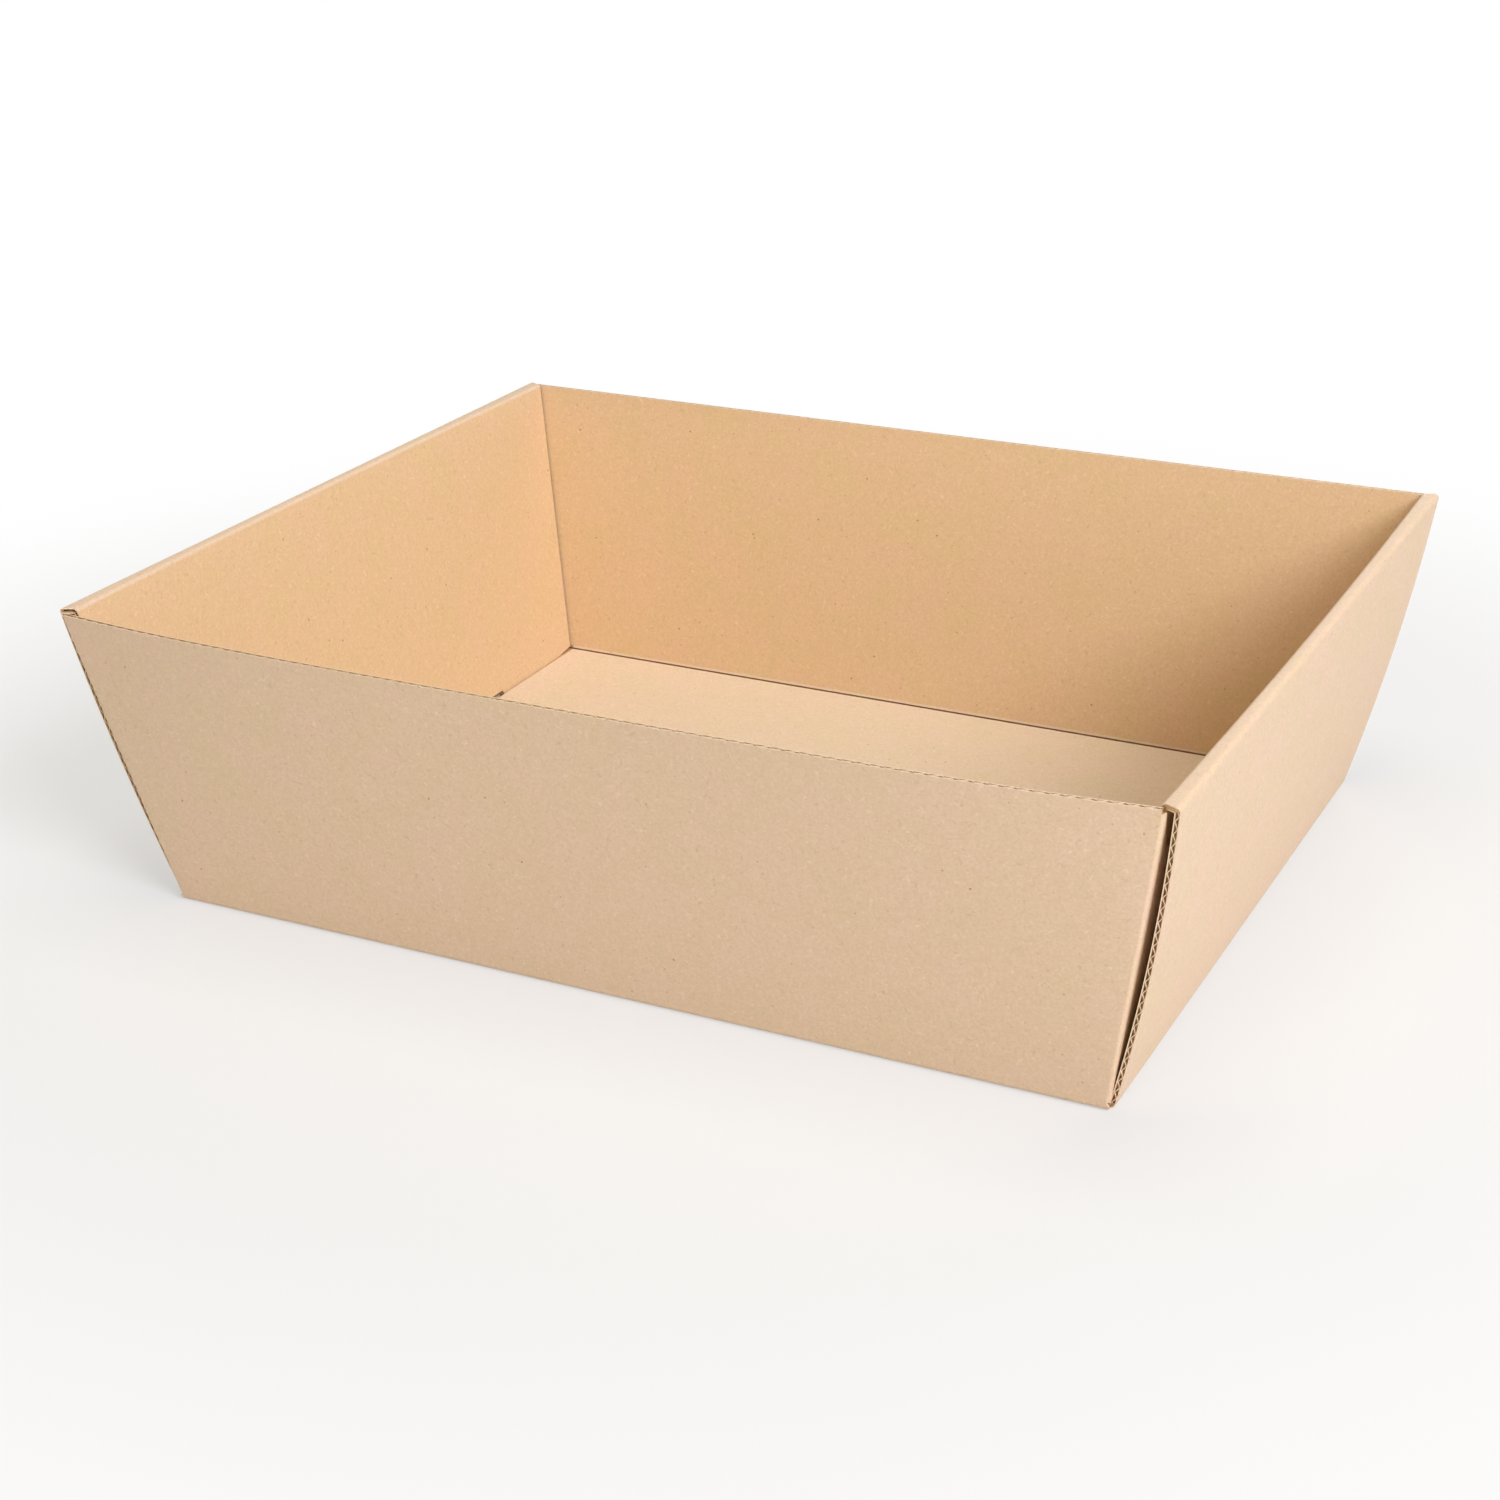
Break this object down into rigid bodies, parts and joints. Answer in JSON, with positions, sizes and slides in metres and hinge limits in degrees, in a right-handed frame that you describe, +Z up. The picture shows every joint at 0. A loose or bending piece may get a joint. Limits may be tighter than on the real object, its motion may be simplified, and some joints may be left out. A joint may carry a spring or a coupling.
{
  "type": "corrugated food tray",
  "caption": "Open rectangular food tray folded from kraft corrugated board, with sloping walls, doubled ends rolled over at the top and tabs locked into the base.",
  "frame": {"origin": "middle of the base's underside, which is the surface that the tray rests on", "axes": "+Z up, +X along the tray towards one of its doubled ends, -Y towards the front wall, which bows outward at its top"},
  "size_m": [0.2872, 0.2339, 0.083],
  "materials": {
    "kraft_board": "matt"
  },
  "bodies": {
    "root": {"tray": "kraft_board"}
  },
  "joints": []
}
